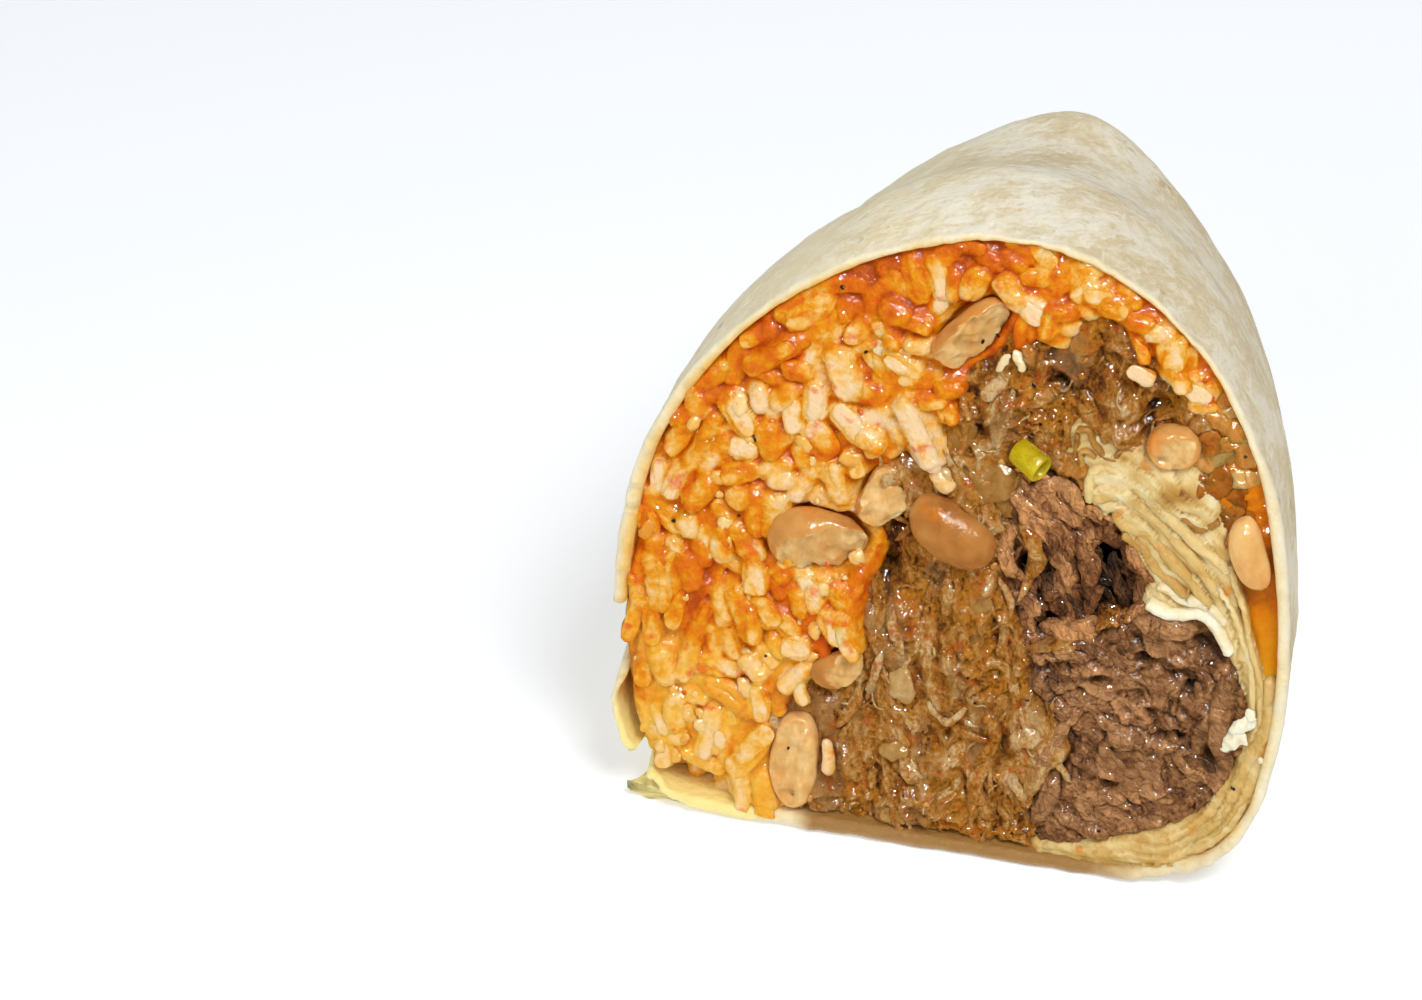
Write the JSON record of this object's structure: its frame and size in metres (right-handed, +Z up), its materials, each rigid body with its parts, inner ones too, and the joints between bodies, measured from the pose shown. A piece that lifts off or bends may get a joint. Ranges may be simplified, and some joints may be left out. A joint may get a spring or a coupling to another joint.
{
  "type": "burrito half",
  "caption": "Cut burrito half lying on its side, a wheat tortilla round rice, beans, stewed meat and meat chunks, all shown on the tilted cut face.",
  "frame": {"origin": "middle of the underside of the overall box", "axes": "+Z up, cut face towards -Y and leaning back, closed folded end towards +Y, X across"},
  "size_m": [0.0916, 0.0998, 0.0857],
  "materials": {
    "tortilla": "matte, floury",
    "rice": "moist",
    "stewed_meat": "wet, saucy",
    "meat": "moist",
    "bean": "glossy skin",
    "pepper": "wet"
  },
  "bodies": {
    "root": {"tortilla": "tortilla", "rice": "rice", "stewed_meat": "stewed_meat", "meat_chunk": "meat", "meat_shreds": "meat", "bean_mash": "bean", "bean_whole": "bean", "bean_cut_top": "bean", "bean_broken_left": "bean", "bean_half_middle": "bean", "bean_round_right": "bean", "bean_pale_right": "bean", "bean_pale_low": "bean", "bean_skin_low": "bean", "pepper_piece": "pepper"}
  },
  "joints": []
}
